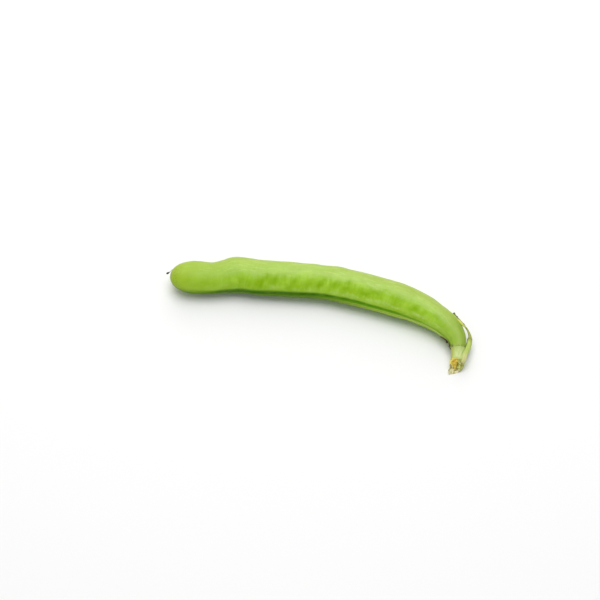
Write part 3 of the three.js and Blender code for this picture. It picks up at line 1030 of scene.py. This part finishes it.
def tornColour(paint, rind):
    # orange fibres on the concave side, olive ones on the other and a crack between them
    warm = paint.mixed(paint.ramp(rind.lift, 0.2, 1.4), "orangeLow", "orangeHigh")
    orange = paint.mixed(paint.ramp(rind.fibre, 0.4, 0.64), warm, "orangeFibre")
    orange = paint.mixed(paint.ramp(rind.torn, 0.02, 0.18, 0.85, 0), orange, "orangeRim")
    olive = paint.mixed(paint.ramp(rind.fibre, 0.42, 0.6), "olive", "oliveFibre")
    sided = paint.plus(rind.across, paint.times(rind.blotch, 3.0))
    crack = paint.within(sided, (0.9, 1.5), (1.6, 2.2))
    rim = paint.ramp(rind.torn, 0.04, 0.2, 0.55, 0)
    return paint.coats(
        paint.mixed(paint.ramp(sided, 1.2, 2.2), orange, olive),
        (paint.ramp(rind.fibre, 0.3, 0.42, 0.7, 0), "darkFibre"),
        (paint.times(crack, paint.ramp(rind.lift, -0.4, 0.8, 0.8, 0)), "crack"),
        (paint.times(rim, paint.ramp(rind.across, 1.8, 3.2)), "brownRim"),
    )


def stalkMaterial():
    paint = Paint(
        "stalkSkin", stalk["colours"], Roughness=0.55, Subsurface_Weight=0.08,
        Subsurface_Scale=1.5 * mm, Subsurface_Radius=(0.8, 1.0, 0.4),
    )
    rind = rindSockets(paint)
    onStem, onTear = paint.ramp(rind.stem, 0.0, 0.02), paint.ramp(rind.torn, 0.0, 0.05)
    colour = paint.mixed(onStem, stumpColour(paint, rind), flowerStemColour(paint, rind))
    colour = paint.mixed(onTear, colour, tornColour(paint, rind))
    cream = paint.mixed(paint.ramp(rind.blotch, 0.44, 0.62), "cream", "creamShade")
    colour = paint.mixed(paint.ramp(rind.lip, 0.15, 0.6), colour, cream)
    paint.set("Base Color", colour)
    paint.bumped(paint.plus(rind.grain, paint.times(rind.blotch, 0.5)), 0.15 * mm, 0.7)
    return paint.material


def makeStalk():
    rows, columns = stalk["stemRows"], stalk["stemColumns"]
    bract = twigPlace(stalk["bract"], flatness=stalk["bractFlatness"], stemFrom=2.0)
    bm = joined(
        rolledGrid(stalk["rows"], stalk["columns"], stumpPlace, stalkLayers),
        rolledGrid(rows, columns, twigPlace(stalk["flowerStem"], stalk["knots"]), stalkLayers),
        rolledGrid(rows, columns, bract, stalkLayers),
    )
    bm, layers = remeshed(bm, stalk["voxel"], stalk["voxelSmoothing"], stalkLayers)
    addFibres(bm, layers)
    newPiece("stalkSkin", bm, "stalk", stalkMaterial())


makeStalk()


# The withered calyx: a thin torn ring with five lobes, the longest along the front seam.
calyx = {
    "rows": 90,
    "columns": 300,
    # middle angle, length along the pod, half angle at the base, how far the tip curls off
    "lobes": [
        (187, 12.4, 19, 0.35), (140, 1.1, 12, 0.1), (22, 1.0, 10, 0.1), (316, 4.0, 22, 0.4),
        (262, 5.2, 24, 0.7),
    ],
    "lobeRoundness": 0.8,
    "curlSharpness": 2.2,
    "longFrom": 10,  # a lobe is the long one from this length on
    "ring": 0.17,  # height of the ring on either side of the joint
    "ringHigher": (116, 48, 0.28),  # where it reaches further up the pod: angle, reach, height
    "ringCloser": (64, 30, -0.14),  # where it lies closer to the skin: the same
    "offset": 0.02,
    "wall": 0.2,
    "ragged": 0.7,
    "crinkle": 0.16,
    # on the long lobe: height above the joint, half length, rise
    "spur": (5.6, 0.7, 0.7),  # a curled bit
    "spurAngles": (184, 194),
    "foot": (1.0, 1.3, 0.5),  # its thick foot
    "footAngles": (185, 24, 1),
    "green": (3.4, 1.0, 0.8),  # where it hasn't dried
    "colours": {
        "ringShade": (134, 146, 60), "ringLit": (172, 190, 100), "dryBlack": (24, 18, 12),
        "dryBrown": (66, 50, 28), "dryTip": (104, 66, 48),
    },
}


def lobeAt(angle):  # the lobe's reach at an angle, how far it curls off, and whether it is the long one
    reach, curl, isLong = 0.0, 0.0, False
    for middle, length, half, lift in calyx["lobes"]:
        tall = length * bump(turn(angle, middle), half) ** calyx["lobeRoundness"]
        if tall > reach:
            reach, curl, isLong = tall, lift, length > calyx["longFrom"]
    return reach, curl, isLong


def calyxPlace(along, around):
    angle = 360 * around
    a = math.radians(angle)
    reach, curl, isLong = lobeAt(angle)
    edge = roughRound(7, angle, 2)
    reach = max(reach + calyx["ragged"] * edge * smooth(reach, 0.2, 2.5), 0)
    low, high = -calyx["ring"], calyx["ring"] * (0.9 + 0.5 * edge) + reach
    high += raisedRound(calyx["ringHigher"], angle)
    upPod = low + (high - low) * along
    away = smooth(upPod, calyx["ring"], calyx["ring"] + max(reach, 0.5))
    rise = calyx["offset"] + calyx["wall"] + curl * away ** calyx["curlSharpness"]
    rise += raisedRound(calyx["ringCloser"], angle)
    crinkle = calyx["crinkle"] * rough(upPod * 0.8, 6 * math.cos(a), 6 * math.sin(a))
    rise += crinkle * smooth(reach, 0.5, 3)
    dry = clamp(reach / 1.6)
    if isLong:
        rise += raised(calyx["spur"], upPod) * smooth(angle, *calyx["spurAngles"])
        rise += raised(calyx["foot"], upPod) * raisedRound(calyx["footAngles"], angle)
        dry *= 1 - raised(calyx["green"], upPod)
    distance = body["neckAt"] - upPod
    ring = bodyRing(distance)
    if upPod > 0:
        rise += max(podRise(ring, angle), 0)
    where = Vector((distance, 4 * math.cos(a), 4 * math.sin(a)))
    return bodyPoint(ring, angle, rise), (where, dry, away)


def calyxMaterial():
    paint = Paint("witheredCalyx", calyx["colours"], Roughness=0.75)
    place = paint.attribute("straight", "Vector")
    lobe, tipness = paint.attribute("lobe"), paint.attribute("tipness")
    grain = paint.noise(paint.stretched(place, (0.5, 1.6, 1.6)), 1.4, 4.0, 0.6)
    ringColour = paint.mixed(paint.ramp(grain, 0.35, 0.65), "ringShade", "ringLit")
    dry = paint.mixed(paint.ramp(grain, 0.35, 0.7), "dryBlack", "dryBrown")
    dry = paint.mixed(paint.ramp(tipness, 0.55, 0.95, 0, 0.7), dry, "dryTip")
    paint.set("Base Color", paint.mixed(paint.ramp(lobe, 0.2, 0.8), ringColour, dry))
    paint.bumped(grain, 0.2 * mm, 0.9)
    return paint.material


def makeCalyx():
    bm = rolledGrid(calyx["rows"], calyx["columns"], calyxPlace, ["straight", "lobe", "tipness"])
    bmesh.ops.solidify(bm, geom=bm.faces[:], thickness=calyx["wall"] * mm)
    bmesh.ops.recalc_face_normals(bm, faces=bm.faces)
    newPiece("calyxRemains", bm, "calyx", calyxMaterial())


makeCalyx()


# The withered style on the tip.
style = {
    "rows": 90,
    "columns": 20,
    # x, y, height and radius in mm
    "points": [
        (-0.1, 4.9, 9.1, 0.26), (-0.5, 3.9, 9.3, 0.15), (-0.8, 3.0, 9.35, 0.13), (-1.1, 2.3, 9.3, 0.16),
        (-1.4, 1.7, 9.3, 0.34), (-1.7, 1.2, 9.25, 0.58), (-2.1, 0.7, 9.2, 0.5), (-2.4, 0.3, 9.2, 0.2),
    ],
    "flatness": 0.8,
    "colours": {
        "thread": (150, 152, 96), "threadShade": (112, 108, 64), "end": (20, 18, 16), "endLit": (64, 58, 46),
    },
}


def styleMaterial():
    paint = Paint("witheredStyle", style["colours"], Roughness=0.7)
    place = paint.attribute("straight", "Vector")
    along = paint.attribute("stem")
    grain = paint.noise(place, 2.0, 3.0, 0.6)
    thread = paint.mixed(paint.ramp(grain, 0.4, 0.6), "thread", "threadShade")
    end = paint.mixed(paint.ramp(grain, 0.4, 0.7), "end", "endLit")
    paint.set("Base Color", paint.mixed(paint.ramp(along, 0.4, 0.6), thread, end))
    paint.bumped(grain, 0.1 * mm, 0.8)
    return paint.material


def makeStyle():
    place = twigPlace(style["points"], flatness=style["flatness"])
    bm = rolledGrid(style["rows"], style["columns"], place, stalkLayers)
    newPiece("styleThread", bm, "style", styleMaterial())


makeStyle()
